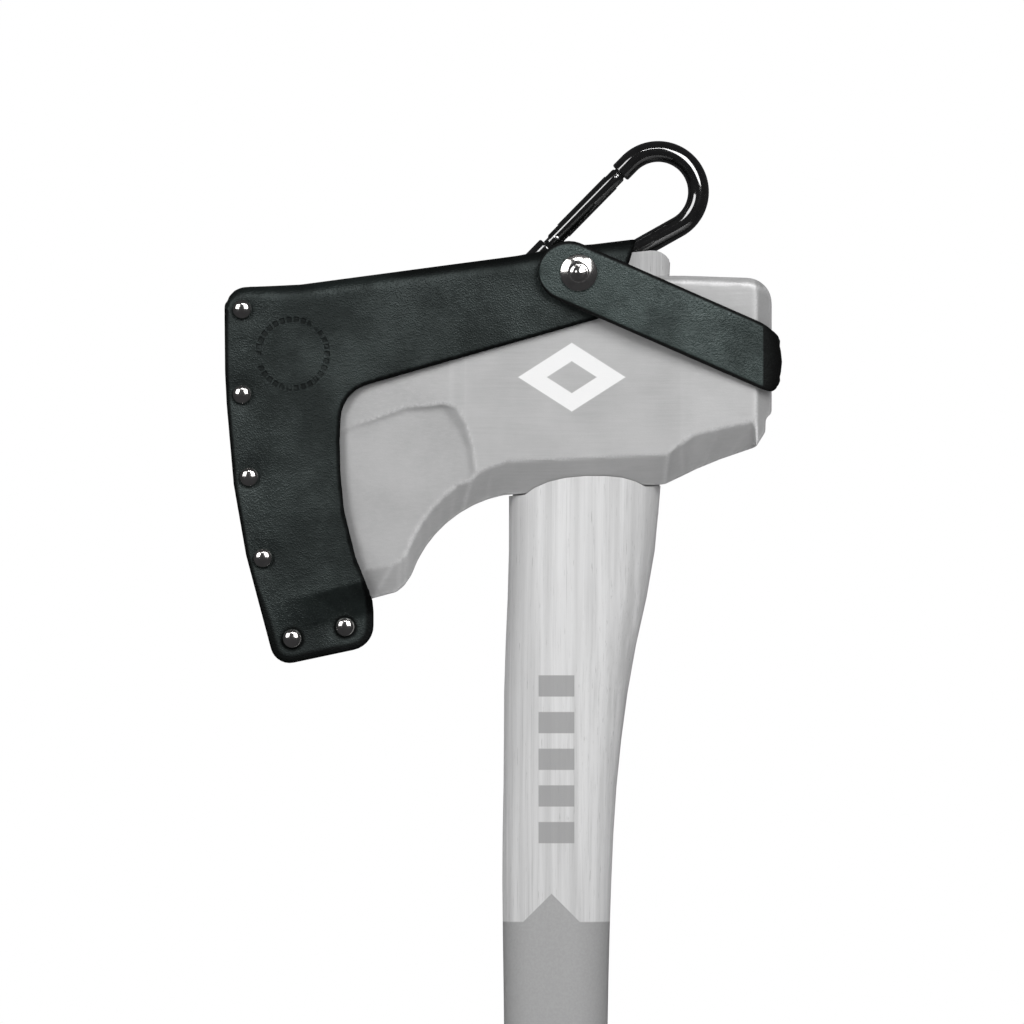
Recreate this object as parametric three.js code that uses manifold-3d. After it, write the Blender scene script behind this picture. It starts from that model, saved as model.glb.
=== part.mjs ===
// Felling axe in its leather sheath, with a snap strap round the poll and a carabiner.
// Millimetres. +Z runs up the haft, the bit points to -X, the poll to +X, and the near side is -Y.
// The origin is the centre of the haft's butt.
import * as THREE from 'three';
import { mergeVertices } from 'three/addons/utils/BufferGeometryUtils.js';
import Module from 'manifold-3d';

const wasm = await Module();
wasm.setup();

// ---------------------------------------------------------------- driving dimensions

const GAP = 0.35;                 // clearance between pieces that touch
const LENGTH = 700;               // butt to the top of the tenon
const HEAD_TOP = 690;             // level top of the head
const POLL_X = 77.5;              // flat face of the poll
const HEAD_HALF = 20;             // half the thickness of the head at the eye
const LEATHER = 2.6;              // thickness of the sheath and strap leather
const RIVET_RADIUS = 3.5;         // rivet caps
const POST_RADIUS = 1.4;          // rivet posts
const SNAP = { x: 8, z: 691 };    // centre of the snap
const STRAP_WIDTH = 22;
const STRAP_SLOPE = 0.437;        // fall of the strap towards the poll, per millimetre of X
const ROD_RADIUS = 3.8;           // carabiner rod
const CARABINER_Y = 31.5;         // plane of the carabiner, behind the sheath

const FACETS = 16;

// ---------------------------------------------------------------- small geometry helpers

const vec2 = (x, y) => new THREE.Vector2(x, y);
const degrees = (angle) => THREE.MathUtils.degToRad(angle);

function signedVolume(geometry) {
  const flat = geometry.index ? geometry.toNonIndexed() : geometry;
  const place = flat.attributes.position;
  const [a, b, c] = [new THREE.Vector3(), new THREE.Vector3(), new THREE.Vector3()];
  let volume = 0;
  for (let i = 0; i < place.count; i += 3) {
    a.fromBufferAttribute(place, i);
    b.fromBufferAttribute(place, i + 1);
    c.fromBufferAttribute(place, i + 2);
    volume += a.dot(b.cross(c)) / 6;
  }
  return volume;
}

// A closed geometry with shared vertices and its faces pointing out.
function tidy(geometry) {
  const bare = geometry.clone();
  bare.deleteAttribute('normal');
  bare.deleteAttribute('uv');
  const merged = mergeVertices(bare, 1e-4);
  if (signedVolume(merged) < 0) {
    merged.index.array.reverse();
  }
  return merged;
}

function solid(geometry) {
  const merged = tidy(geometry);
  const vertProperties = new Float32Array(merged.attributes.position.array);
  const triVerts = new Uint32Array(merged.index.array);
  return new wasm.Manifold(new wasm.Mesh({ numProp: 3, vertProperties, triVerts }));
}

function geometryOf(manifold) {
  const { vertProperties, triVerts } = manifold.getMesh();
  const geometry = new THREE.BufferGeometry();
  geometry.setAttribute('position', new THREE.BufferAttribute(vertProperties, 3));
  geometry.setIndex(new THREE.BufferAttribute(triVerts, 1));
  geometry.computeVertexNormals();
  return geometry;
}

// Corners [a, b, radius] of an outline, with every radius turned into an arc.
function rounded(corners, stepDegrees = 15) {
  const points = [];
  corners.forEach(([a, b, radius = 0], i) => {
    const corner = vec2(a, b);
    const [beforeA, beforeB] = corners.at(i - 1);
    const [afterA, afterB] = corners[(i + 1) % corners.length];
    const toBefore = vec2(beforeA, beforeB).sub(corner).normalize();
    const toAfter = vec2(afterA, afterB).sub(corner).normalize();
    const opening = Math.acos(THREE.MathUtils.clamp(toBefore.dot(toAfter), -1, 1));
    const turn = Math.PI - opening;
    if (radius === 0 || turn < 0.01) {
      points.push(corner);
      return;
    }
    const reach = radius * Math.tan(turn / 2);
    const middle = toBefore.clone().add(toAfter).normalize();
    const centre = corner.clone().addScaledVector(middle, radius / Math.sin(opening / 2));
    const first = corner.clone().addScaledVector(toBefore, reach).sub(centre);
    const side = Math.sign(toBefore.cross(toAfter));
    const count = Math.max(1, Math.round(turn / degrees(stepDegrees)));
    for (let k = 0; k <= count; k += 1) {
      points.push(first.clone().rotateAround(vec2(0, 0), (-side * turn * k) / count).add(centre));
    }
  });
  return points;
}

// Points of the arc from one point to another that rises to the left of the straight line.
function arcBetween(from, to, rise, count) {
  const half = from.distanceTo(to) / 2;
  const radius = (half * half + rise * rise) / (2 * rise);
  const along = to.clone().sub(from).normalize();
  const left = vec2(-along.y, along.x);
  const centre = from.clone().add(to).multiplyScalar(0.5).addScaledVector(left, rise - radius);
  const sweep = 2 * Math.asin(half / radius);
  const points = [];
  for (let k = 0; k <= count; k += 1) {
    points.push(from.clone().rotateAround(centre, (-sweep * k) / count));
  }
  return points;
}

function extruded(points, depth) {
  return new THREE.ExtrudeGeometry(new THREE.Shape(points), { depth, bevelEnabled: false });
}

// Prisms along each axis: the outline is (x, z), (x, y) or (y, z).
function prismAlongY(points, yMin, yMax) {
  return solid(extruded(points, yMax - yMin).rotateX(Math.PI / 2).translate(0, yMax, 0));
}

function prismAlongZ(points, zMin, zMax) {
  return solid(extruded(points, zMax - zMin).translate(0, 0, zMin));
}

function prismAlongX(points, xMin, xMax) {
  const turn = new THREE.Matrix4().makeBasis(
    new THREE.Vector3(0, 1, 0), new THREE.Vector3(0, 0, 1), new THREE.Vector3(1, 0, 0),
  );
  return solid(extruded(points, xMax - xMin).applyMatrix4(turn).translate(xMin, 0, 0));
}

function box(xMin, xMax, yMin, yMax, zMin, zMax) {
  const shape = [vec2(xMin, yMin), vec2(xMax, yMin), vec2(xMax, yMax), vec2(xMin, yMax)];
  return prismAlongZ(shape, zMin, zMax);
}

function rod(radius, x, z, yMin, yMax) {
  const geometry = new THREE.CylinderGeometry(radius, radius, yMax - yMin, FACETS);
  return solid(geometry.translate(x, (yMin + yMax) / 2, z));
}

// A closed skin through rings that all have the same number of points.
function loft(rings) {
  const size = rings[0].length;
  const last = (rings.length - 1) * size;
  const index = [];
  for (let i = 0; i + 1 < rings.length; i += 1) {
    for (let j = 0; j < size; j += 1) {
      const next = (j + 1) % size;
      const [a, b, c, d] = [i * size + j, i * size + next, (i + 1) * size + next, (i + 1) * size + j];
      index.push(a, b, c, a, c, d);
    }
  }
  const [origin, along] = [rings[0][0], new THREE.Vector3()];
  rings[0].forEach((point, j) => {
    const first = point.clone().sub(origin);
    along.add(first.cross(rings[0][(j + 1) % size].clone().sub(origin)));
  });
  const acrossX = Math.abs(along.x) > Math.max(Math.abs(along.y), Math.abs(along.z));
  const acrossY = !acrossX && Math.abs(along.y) > Math.abs(along.z);
  const flatten = (p) => (acrossX ? vec2(p.y, p.z) : acrossY ? vec2(p.z, p.x) : vec2(p.x, p.y));
  const firstCap = THREE.ShapeUtils.triangulateShape(rings[0].map(flatten), []);
  const lastCap = THREE.ShapeUtils.triangulateShape(rings.at(-1).map(flatten), []);
  const skinTurn = Math.sign(along.dot(new THREE.Vector3(acrossX, acrossY, !acrossX && !acrossY)));
  const turned = (cap, flip) => cap.map(([a, b, c]) => (flip ? [c, b, a] : [a, b, c]));
  turned(firstCap, skinTurn > 0).forEach((tri) => index.push(...tri));
  turned(lastCap, skinTurn < 0).forEach((tri) => index.push(...tri.map((k) => k + last)));
  const geometry = new THREE.BufferGeometry();
  geometry.setAttribute('position', new THREE.Float32BufferAttribute(
    rings.flat().flatMap((p) => [p.x, p.y, p.z]), 3,
  ));
  geometry.setIndex(index);
  return geometry;
}

// Straight-line reading of a table of [input, value] pairs.
function reading(table, input) {
  const k = table.findIndex(([stop]) => stop >= input);
  if (k <= 0) {
    return k === 0 ? table[0][1] : table.at(-1)[1];
  }
  const [from, low] = table[k - 1];
  const [to, high] = table[k];
  return low + ((high - low) * (input - from)) / (to - from);
}

const parts = new THREE.Group();

function add(name, geometry, look, group = parts) {
  const mesh = new THREE.Mesh(tidy(geometry), new THREE.MeshStandardMaterial(look));
  mesh.name = name;
  group.add(mesh);
  return mesh;
}

const LOOKS = {
  steel: { color: '#b4b4b4', roughness: 0.55, metalness: 0.6 },
  haft: { color: '#cbcbcb', roughness: 0.7, metalness: 0 },
  wedge: { color: '#bdbdbd', roughness: 0.8, metalness: 0 },
  leather: { color: '#2b2f2e', roughness: 0.6, metalness: 0 },
  strap: { color: '#303534', roughness: 0.5, metalness: 0 },
  chrome: { color: '#b9b4ad', roughness: 0.15, metalness: 1 },
  black: { color: '#0d0d0e', roughness: 0.2, metalness: 0.6 },
};

// ---------------------------------------------------------------- head

const TOE = vec2(-108.5, 681.2);
const HEEL = vec2(-92.3, 565.4);
const EDGE_RISE = 7;              // how far the bit curves forward of a straight line
const BEARD_END = [vec2(-57.6, 576.2), vec2(-54.9, 578.4)];
const THROAT = { x: -10.7, z: 567.9, radius: 44 };
const EDGE_HALF = 0.6;            // half the thickness that is left at the cutting edge
const POLL_HALF = 13;             // half the width of the poll's flat face

// Half the thickness of the head against X.
const CHEEKS = [
  [-108.5, 0.8], [-98, 2.4], [-75, 6.8], [-42, 18], [-38, 19.3], [-33, HEAD_HALF],
  [45, HEAD_HALF], [72, 18], [POLL_X, POLL_HALF],
];
const cheekHalf = (x) => reading(CHEEKS, x);

// The scooped side of the bit is a plane that lies below the cheek and ends at the haft. Its depth
// is half the thickness left at (x, z), and it grows by flare along X and by lean along Z.
const SCOOP = { x: -71, z: 640, half: 7.9, flare: 0.28, lean: 0.03, end: -31.1 };
const scoopHalf = ({ x, y }) => SCOOP.half + SCOOP.flare * (x - SCOOP.x) + SCOOP.lean * (y - SCOOP.z);

function throatArc(radiusFrom, radiusTo, angleFrom, angleTo, count = 8) {
  const points = [];
  for (let k = 0; k <= count; k += 1) {
    const angle = degrees(THREE.MathUtils.lerp(angleFrom, angleTo, k / count));
    const radius = THREE.MathUtils.lerp(radiusFrom, radiusTo, k / count);
    points.push(vec2(THROAT.x + radius * Math.cos(angle), THROAT.z + radius * Math.sin(angle)));
  }
  return points;
}

// The lower edge of the head seen from the side, and the upper line of the bevel above it.
const UNDER_EDGE = [
  HEEL, vec2(-68.6, 573.2), ...BEARD_END,
  ...throatArc(THROAT.radius, THROAT.radius, 161, 101),
  vec2(39, 615), vec2(46, 618.3), vec2(50.2, 620.4), vec2(59, 624), vec2(71.8, 628.4),
];
const BEVEL_LINE = [
  vec2(-96, 575.5), vec2(-68.6, 584.4), vec2(-58.5, 586.4), vec2(-55.8, 588.2),
  ...throatArc(48.6, 55.8, 152.5, 97),
  vec2(40.1, 625.8), vec2(44.5, 629.4), vec2(49.5, 632.7), vec2(59, 635.2), vec2(71.1, 637.7),
];

// The upper edge of the head, from the poll to the toe.
const TOP_EDGE = [
  ...rounded([[POLL_X, 628], [POLL_X, 689, 9], [46, HEAD_TOP]]).slice(1, -1),
  vec2(46, HEAD_TOP), vec2(-14, HEAD_TOP), vec2(-26, HEAD_TOP), vec2(-46, HEAD_TOP),
  vec2(-75, 685.9), vec2(-98, 682.7), TOE,
];
const TOP_CHAMFER = 2;

function sideOutline() {
  const edge = arcBetween(HEEL, TOE, EDGE_RISE, 12);
  const pollFoot = [vec2(75.2, 633.8), vec2(POLL_X - 2.2, 638.6), vec2(POLL_X, 640.6)];
  return [...UNDER_EDGE, ...pollFoot, ...TOP_EDGE, ...edge.reverse().slice(1, -1)];
}

// A cutter that planes one side of the head between two matching lines.
function bevelCutter(lowLine, lowHalf, highLine, highHalf) {
  const rings = lowLine.map((low, i) => {
    const high = highLine[i];
    const [depthLow, depthHigh] = [lowHalf(low), highHalf(high)];
    const at = (t, y) => {
      const place = low.clone().lerp(high, t);
      return new THREE.Vector3(place.x, -y, place.y);
    };
    const depthAt = (t) => THREE.MathUtils.lerp(depthLow, depthHigh, t);
    return [at(-0.35, depthAt(-0.35)), at(1.05, depthAt(1.05)), at(1.05, 40), at(-0.35, 40)];
  });
  return solid(loft(rings));
}

function eyeShape(grow) {
  const rings = [[590, 10.5, 25.6, 10.8], [710, 11.4, 30.3, 12.3]].map(([z, centre, long, wide]) => {
    const ring = [];
    for (let k = 0; k < 40; k += 1) {
      const angle = (2 * Math.PI * k) / 40;
      const power = 2 / 2.7;
      const across = Math.sign(Math.cos(angle)) * Math.abs(Math.cos(angle)) ** power;
      const up = Math.sign(Math.sin(angle)) * Math.abs(Math.sin(angle)) ** power;
      ring.push(new THREE.Vector3(centre + (long + grow) * across, (wide + grow) * up, z));
    }
    return ring;
  });
  return solid(loft(rings));
}

function scoopCutter() {
  const floor = [
    [-84, 632], [-55.3, 642], [-41.6, 642.8], [-35.8, 635.2], [-32.6, 628], [SCOOP.end, 618],
    [SCOOP.end, 555], [-84, 555],
  ];
  const slope = [[0, 2], [0, 2], [6, 4], [14, 6], [15, 3], [16, 0], [16, 0], [0, 0]];
  const rise = 10;
  const ringAt = (share) => floor.map(([x, z], i) => {
    const place = vec2(x + slope[i][0] * share, z + slope[i][1] * share);
    return new THREE.Vector3(place.x, -scoopHalf(vec2(x, z)) - rise * share, place.y);
  });
  return solid(loft([ringAt(0), ringAt(1)]));
}

function headBlank() {
  const side = prismAlongY(sideOutline(), -30, 30);
  const plan = [];
  CHEEKS.forEach(([x, half]) => plan.push(vec2(x, half)));
  CHEEKS.toReversed().forEach(([x, half]) => plan.push(vec2(x, -half)));
  const nose = plan[0].x - 2;
  let blank = side.intersect(prismAlongZ([vec2(nose, 0), ...plan], 550, 700));
  const edge = arcBetween(HEEL, TOE, EDGE_RISE, 12);
  const grind = edge.map((point) => vec2(point.x + 22, point.y + (point.y - 624) * 0.05));
  const top = TOP_EDGE.filter((point) => point.x < POLL_X - 2);
  const cutters = [
    scoopCutter(),
    bevelCutter(edge, () => EDGE_HALF, grind, (p) => cheekHalf(p.x)),
    bevelCutter(
      top,
      (p) => Math.max(cheekHalf(p.x) - TOP_CHAMFER, EDGE_HALF),
      top.map((p) => vec2(p.x, p.y - TOP_CHAMFER)),
      (p) => cheekHalf(p.x),
    ),
    bevelCutter(
      UNDER_EDGE,
      (p) => 0.5 * (p.x < THROAT.x - 18 ? scoopHalf(p) : cheekHalf(p.x)),
      BEVEL_LINE,
      (p) => (p.x < SCOOP.end ? scoopHalf(p) : cheekHalf(p.x)),
    ),
  ];
  cutters.forEach((cutter) => {
    blank = blank.subtract(cutter).subtract(cutter.mirror([0, 1, 0]));
  });
  return blank;
}

const BLANK = headBlank();
add('head', geometryOf(BLANK.subtract(eyeShape(GAP))), LOOKS.steel);

// ---------------------------------------------------------------- haft and wedges

// [height, front of the haft, back of the haft, half its thickness]
const HAFT = [
  [0, -19, 19, 13], [30, -24, 20, 15], [75, -20, 16, 14], [150, -17.6, 15.6, 13.2],
  [270, -17.6, 16.9, 13.2], [421, -18.9, 18.5, 13.8], [477, -19.5, 20, 14], [511, -19, 22.1, 14.3],
  [543, -18.8, 26.1, 14.7], [560, -18.2, 29.3, 15], [586, -17.2, 34.8, 15], [625, -17.1, 38.4, 15],
];

// Smooth reading of one column of the haft's table.
function haftAt(z, column) {
  const last = HAFT.length - 1;
  const found = HAFT.findIndex(([stop]) => stop >= z);
  const k = THREE.MathUtils.clamp(found < 0 ? last : found, 1, last);
  const slope = (i) => {
    const [low, high] = [HAFT[Math.max(i - 1, 0)], HAFT[Math.min(i + 1, last)]];
    return (high[column] - low[column]) / (high[0] - low[0]);
  };
  const [from, to] = [HAFT[k - 1], HAFT[k]];
  const span = to[0] - from[0];
  const t = (z - from[0]) / span;
  const start = from[column] * (1 + 2 * t) * (1 - t) ** 2 + slope(k - 1) * span * t * (1 - t) ** 2;
  const end = to[column] * t * t * (3 - 2 * t) + slope(k) * span * t * t * (t - 1);
  return start + end;
}

function haftBody() {
  const heights = [0, 1, 3, 6.5, 12, 20];
  for (let z = 30; z <= 625; z += 17) {
    heights.push(z);
  }
  const buttRound = 5;
  const rings = heights.map((z) => {
    const inset = z < 6.5 ? buttRound * (1 - Math.sqrt(1 - (1 - z / 6.5) ** 2)) : 0;
    const [front, back, half] = [haftAt(z, 1) + inset, haftAt(z, 2) - inset, haftAt(z, 3) - inset];
    const ring = [];
    for (let k = 0; k < 28; k += 1) {
      const angle = (2 * Math.PI * k) / 28;
      const power = 2 / 2.3;
      const across = Math.sign(Math.cos(angle)) * Math.abs(Math.cos(angle)) ** power;
      const up = Math.sign(Math.sin(angle)) * Math.abs(Math.sin(angle)) ** power;
      ring.push(new THREE.Vector3((front + back) / 2 + ((back - front) / 2) * across, half * up, z));
    }
    return ring;
  });
  return solid(loft(rings));
}

// The top of the tenon is sawn off at a slight slope and its corners are eased.
function tenonLimit(drop) {
  const slope = 0.105;
  const right = 43;
  const left = -20;
  const bottom = 604;
  return prismAlongY(rounded([
    [left, bottom], [right, bottom], [right - 1.4, LENGTH - drop, 7],
    [left, LENGTH - drop - slope * (right - left), 4],
  ]), -30, 30);
}

const KERF = { top: 3.2, bottom: 0.8, floor: 652 };
const STEEL_WEDGE = { half: 8.5, floor: 676, top: 1.5, bottom: 0.4 };

function woodWedge(grow) {
  const { top, bottom, floor } = KERF;
  const points = [
    vec2(-bottom - grow, floor - grow), vec2(bottom + grow, floor - grow),
    vec2(top + grow, 702), vec2(-top - grow, 702),
  ];
  return prismAlongX(points, -40, 60);
}

function steelWedge(x, grow) {
  const { half, floor, top, bottom } = STEEL_WEDGE;
  const points = [
    vec2(x - bottom - grow, floor - grow), vec2(x + bottom + grow, floor - grow),
    vec2(x + top + grow, 702), vec2(x - top - grow, 702),
  ];
  return prismAlongY(points, -half - grow, half + grow);
}

const STEEL_WEDGES = { steel_wedge_front: 2, steel_wedge_rear: 24 };
const slots = Object.values(STEEL_WEDGES).map((x) => steelWedge(x, GAP));
const tenon = eyeShape(0).intersect(tenonLimit(0));
let haft = haftBody().subtract(BLANK.translate([0, 0, -GAP - 0.1])).add(tenon).subtract(woodWedge(GAP));
let wedge = woodWedge(0).intersect(eyeShape(0)).intersect(tenonLimit(0.4));
slots.forEach((slot) => {
  haft = haft.subtract(slot);
  wedge = wedge.subtract(slot);
});
add('haft', geometryOf(haft), LOOKS.haft);
add('wood_wedge', geometryOf(wedge), LOOKS.wedge);
Object.entries(STEEL_WEDGES).forEach(([name, x]) => {
  add(name, geometryOf(steelWedge(x, 0).intersect(tenonLimit(0.2))), LOOKS.steel);
});

// ---------------------------------------------------------------- sheath

// Height of the folded top of the sheath against X.
const FOLD = [[-112, 686.2], [-92.3, 687], [-14.6, 697.1], [3.4, 700.7], [12.8, 701.3], [29.2, 704]];
const FOLD_ROUND = 7;
const WELT_HALF = 2.2;            // half the space between the panels along the welt

function foldHeight(x) {
  const start = FOLD[0][0];
  const past = THREE.MathUtils.clamp(start - x, 0, FOLD_ROUND);
  return reading(FOLD, x) - FOLD_ROUND + Math.sqrt(FOLD_ROUND ** 2 - past ** 2);
}

// Half the space between the panels against X. From the cheeks the leather hangs in a smooth
// line to the welt, clear of the steel.
const DRAPE = [
  [-103, WELT_HALF], [-98, 2.85], [-92.3, 3.95], [-87, 5.2], [-75, 8.5], [-66, 11.2], [-57, 14.1],
  [-50, 16.4], [-44, 18.4], [-38, 20], [-31, 20.6], [-14, HEAD_HALF + GAP + 0.05],
];

// Below this height the panels are drawn together against the welt, above it they spread.
const SPREAD = 11.5;
const drawnTogether = (x) => Math.min(HEEL.y - 3 + 0.25 * (x - HEEL.x), 600);

// Half the space between the panels.
function panelInner(x, z) {
  const open = reading(DRAPE, x);
  const share = THREE.MathUtils.clamp((z - drawnTogether(x)) / SPREAD, 0, 1);
  return THREE.MathUtils.lerp(WELT_HALF, open, share);
}

// One cross-section of the folded leather, open at the bottom.
function foldRing(x) {
  const levels = [540, drawnTogether(x), drawnTogether(x) + SPREAD];
  const line = (thick) => {
    const top = foldHeight(x) - LEATHER + thick;
    const wide = panelInner(x, 700) + thick;
    const bend = Math.min(wide - 0.2, 2.4 + thick);
    const side = levels.map((z) => vec2(panelInner(x, z) + thick, z));
    for (let k = 0; k <= 4; k += 1) {
      const angle = (Math.PI * k) / 8;
      side.push(vec2(wide - bend + bend * Math.cos(angle), top - bend + bend * Math.sin(angle)));
    }
    return [...side, ...side.toReversed().map((p) => vec2(-p.x, p.y))];
  };
  return [...line(LEATHER), ...line(0).reverse()].map((p) => new THREE.Vector3(x, p.x, p.y));
}

// The panel seen from the side. Its top is cut by the fold, so it stops above it here.
const PANEL = rounded([
  [-120, 715], [-119.4, 650, 150], [-115.2, 602, 150], [-101.2, 549.3, 7], [-65.9, 556.8, 9],
  [-65.9, 573, 20], [-75.6, 597, 60], [-78.3, 625, 80], [-77.2, 648.2, 13], [25.4, 677.4, 14],
  [25.4, 692, 8], [29.4, 705.5], [29.4, 715],
], 12);

const FRONT_RIVETS = [[-113.2, 678], [-113.2, 647.4], [-110.7, 617.6], [-105.7, 588.4]];
const LOWER_RIVETS = [[-95.2, 559.4], [-76.1, 563.6]];
const WELT_RIVETS = [...FRONT_RIVETS, ...LOWER_RIVETS];
const STRAP_RIVET = { x: 17, z: 687 };
const LOOP_REACH = 21;            // from the carabiner's eye to the rivet of its loop

// Carabiner: two circles joined by their outer tangents, seen from the side.
const NARROW = { x: -3.1, z: 690.3, radius: 7.5 };
const WIDE = { x: 36.9, z: 720.9, radius: 14.6 };
const SPAN = Math.hypot(WIDE.x - NARROW.x, WIDE.z - NARROW.z);
const LEAN = Math.atan2(WIDE.z - NARROW.z, WIDE.x - NARROW.x);
const FLARE = Math.asin((WIDE.radius - NARROW.radius) / SPAN);
const LOOP_RIVET = {
  x: NARROW.x - LOOP_REACH * Math.cos(LEAN),
  z: NARROW.z - LOOP_REACH * Math.sin(LEAN),
};

function sheathLeather() {
  const front = [-123, -118.9, -118, -116, -113.5, -112, -103, -98, -92.3, -87, -75, -66];
  const stations = [...front, -57, -50, -44, -38, -31, -14, 3.4, 12.8, 35];
  let leather = solid(loft(stations.map(foldRing))).intersect(prismAlongY(PANEL, -40, 40));
  WELT_RIVETS.forEach(([x, z]) => {
    leather = leather.subtract(rod(POST_RADIUS + GAP, x, z, -30, 30));
  });
  const inner = cheekHalf(SNAP.x) + GAP;
  const pocket = inner + 1.2;
  leather = leather.subtract(rod(1.6 + GAP, SNAP.x, SNAP.z, -40, -inner));
  leather = leather.subtract(rod(4.2 + GAP, SNAP.x, SNAP.z, -pocket, -inner + 1));
  [STRAP_RIVET, LOOP_RIVET].forEach(({ x, z }) => {
    leather = leather.subtract(rod(POST_RADIUS + GAP, x, z, 15, 40));
    leather = leather.subtract(rod(3 + GAP, x, z, inner - 3, pocket));
  });
  return leather;
}

add('sheath_leather', geometryOf(sheathLeather()), LOOKS.leather);

function welt(region, rivets) {
  const half = WELT_HALF - 0.3;
  const edge = arcBetween(HEEL, TOE, EDGE_RISE, 12).reverse();
  const clear = 0.6;
  const blade = [
    vec2(-60, 720), vec2(TOE.x - clear, 720), ...edge.map((p) => vec2(p.x - clear, p.y)),
    vec2(HEEL.x, HEEL.y - 0.8), vec2(-60, HEEL.y + 0.33 * (-60 - HEEL.x) - 0.8),
  ];
  const underFold = [-125, -118.9, -118, -116, -113.5, -112, -92.3].map((x) => vec2(x, foldHeight(x)));
  const roof = underFold.map((p) => vec2(p.x, p.y - LEATHER - GAP - half));
  const below = prismAlongY([...roof.toReversed(), vec2(-125, 540), vec2(-60, 540), vec2(-60, 688)], -8, 8);
  let strip = prismAlongY(PANEL, -half, half).subtract(prismAlongY(blade, -9, 9));
  strip = strip.intersect(below).intersect(prismAlongY(region, -9, 9));
  rivets.forEach(([x, z]) => {
    strip = strip.subtract(rod(POST_RADIUS + GAP, x, z, -9, 9));
  });
  return strip;
}

const MITRE = [vec2(-110, 545), vec2(-88, 574)];
const aboveMitre = [...MITRE, vec2(-88, 720), vec2(-130, 720), vec2(-130, 545)];
const belowMitre = [
  vec2(MITRE[0].x + GAP, 540), vec2(MITRE[0].x + GAP, 545), vec2(MITRE[1].x + GAP, 574),
  vec2(-60, 590), vec2(-60, 540),
];
add('welt_front', geometryOf(welt(aboveMitre, WELT_RIVETS)), LOOKS.leather);
add('welt_bottom', geometryOf(welt(belowMitre, WELT_RIVETS)), LOOKS.leather);

// ---------------------------------------------------------------- rivets and snap

// A piece turned about the Y axis at (x, z), from its profile of [radius, y] points.
function turned(name, profile, x, z, look) {
  const points = profile.map(([radius, y]) => vec2(radius, y));
  add(name, new THREE.LatheGeometry(points, FACETS).translate(x, 0, z), look);
}

// A domed cap on a face at y, seen from side -1 (near) or 1 (far), as profile points from its rim.
function dome(radius, height, y, side) {
  const points = [];
  for (let k = 0; k <= 4; k += 1) {
    const angle = (Math.PI * k) / 8;
    points.push([radius * Math.cos(angle), y + side * (0.5 + (height - 0.5) * Math.sin(angle))]);
  }
  points[4][0] = 0;
  return points;
}

WELT_RIVETS.forEach(([x, z], i) => {
  const face = WELT_HALF + LEATHER + 0.45;
  const tip = face + 0.8;
  turned(`rivet_${i + 1}`, [
    [0, tip], [POST_RADIUS, tip], [POST_RADIUS, -face], [RIVET_RADIUS, -face],
    ...dome(RIVET_RADIUS, 1.8, -face, -1),
  ], x, z, LOOKS.chrome);
  turned(`rivet_back_${i + 1}`, [
    [0, tip + 0.3], [POST_RADIUS + 0.3, tip + 0.3], [POST_RADIUS + 0.3, face], [RIVET_RADIUS, face],
    ...dome(RIVET_RADIUS, 1.8, face, 1),
  ], x, z, LOOKS.chrome);
});

const PANEL_IN = cheekHalf(SNAP.x) + GAP + 0.05;     // inner face of the panels at the eye
const PANEL_OUT = PANEL_IN + LEATHER;                // outer face of the panels at the eye
const STUD = PANEL_OUT + 0.3;
const STRAP_IN_NEAR = STUD + 3;                      // inner face of the strap at the snap
const STRAP_IN_FAR = PANEL_OUT + 0.3;

turned('snap_post', [
  [0, -STUD - 0.7], [1.6, -STUD - 0.7], [1.6, -PANEL_IN - 0.8], [4.2, -PANEL_IN - 0.8],
  [4.2, -PANEL_IN - 0.1], [0, -PANEL_IN - 0.1],
], SNAP.x, SNAP.z, LOOKS.chrome);
turned('snap_stud', [
  [1.95, -STUD], [5.5, -STUD], [5.5, -STUD - 0.6], [2.4, -STUD - 0.6], [2.7, -STUD - 1.6],
  [2.2, -STUD - 2], [0, -STUD - 2], [0, -STUD - 1.1], [1.95, -STUD - 1.1], [1.95, -STUD],
], SNAP.x, SNAP.z, LOOKS.chrome);
turned('snap_socket', [
  [1.7, -STUD - 2.3], [3.9, -STUD - 2.3], [3.9, -STUD - 0.9], [5.6, -STUD - 0.9],
  [5.6, -STRAP_IN_NEAR + 0.25], [1.7, -STRAP_IN_NEAR + 0.25], [1.7, -STUD - 2.3],
], SNAP.x, SNAP.z, LOOKS.chrome);
turned('snap_cap', [
  [0, -STUD - 2.35], [1.35, -STUD - 2.35], [1.35, -STRAP_IN_NEAR - LEATHER - 0.3],
  [6.7, -STRAP_IN_NEAR - LEATHER - 0.3], ...dome(6.7, 2.6, -STRAP_IN_NEAR - LEATHER - 0.3, -1),
], SNAP.x, SNAP.z, LOOKS.chrome);

turned('strap_rivet', [
  [0, PANEL_IN + 1], [POST_RADIUS, PANEL_IN + 1], [POST_RADIUS, STRAP_IN_FAR + LEATHER + 0.3],
  [RIVET_RADIUS, STRAP_IN_FAR + LEATHER + 0.3], [RIVET_RADIUS - 0.4, STRAP_IN_FAR + LEATHER + 1.2],
  [0, STRAP_IN_FAR + LEATHER + 1.2],
], STRAP_RIVET.x, STRAP_RIVET.z, LOOKS.chrome);
turned('strap_rivet_back', [
  [0, PANEL_IN + 0.1], [3, PANEL_IN + 0.1], [3, PANEL_IN + 0.7], [0, PANEL_IN + 0.7],
], STRAP_RIVET.x, STRAP_RIVET.z, LOOKS.chrome);

// ---------------------------------------------------------------- strap

const CORNER = { x: 73.2, y: 14.3, radius: 6.3 };    // bend of the strap round the poll's corner
const BEND_START = 98;            // degrees from +X at which the bend leaves the straight run
const SPLIT = 45;                 // degrees at which the strap's bodies meet
const SPLIT_GAP = 3.5;            // degrees that each of them stops short of it

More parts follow.
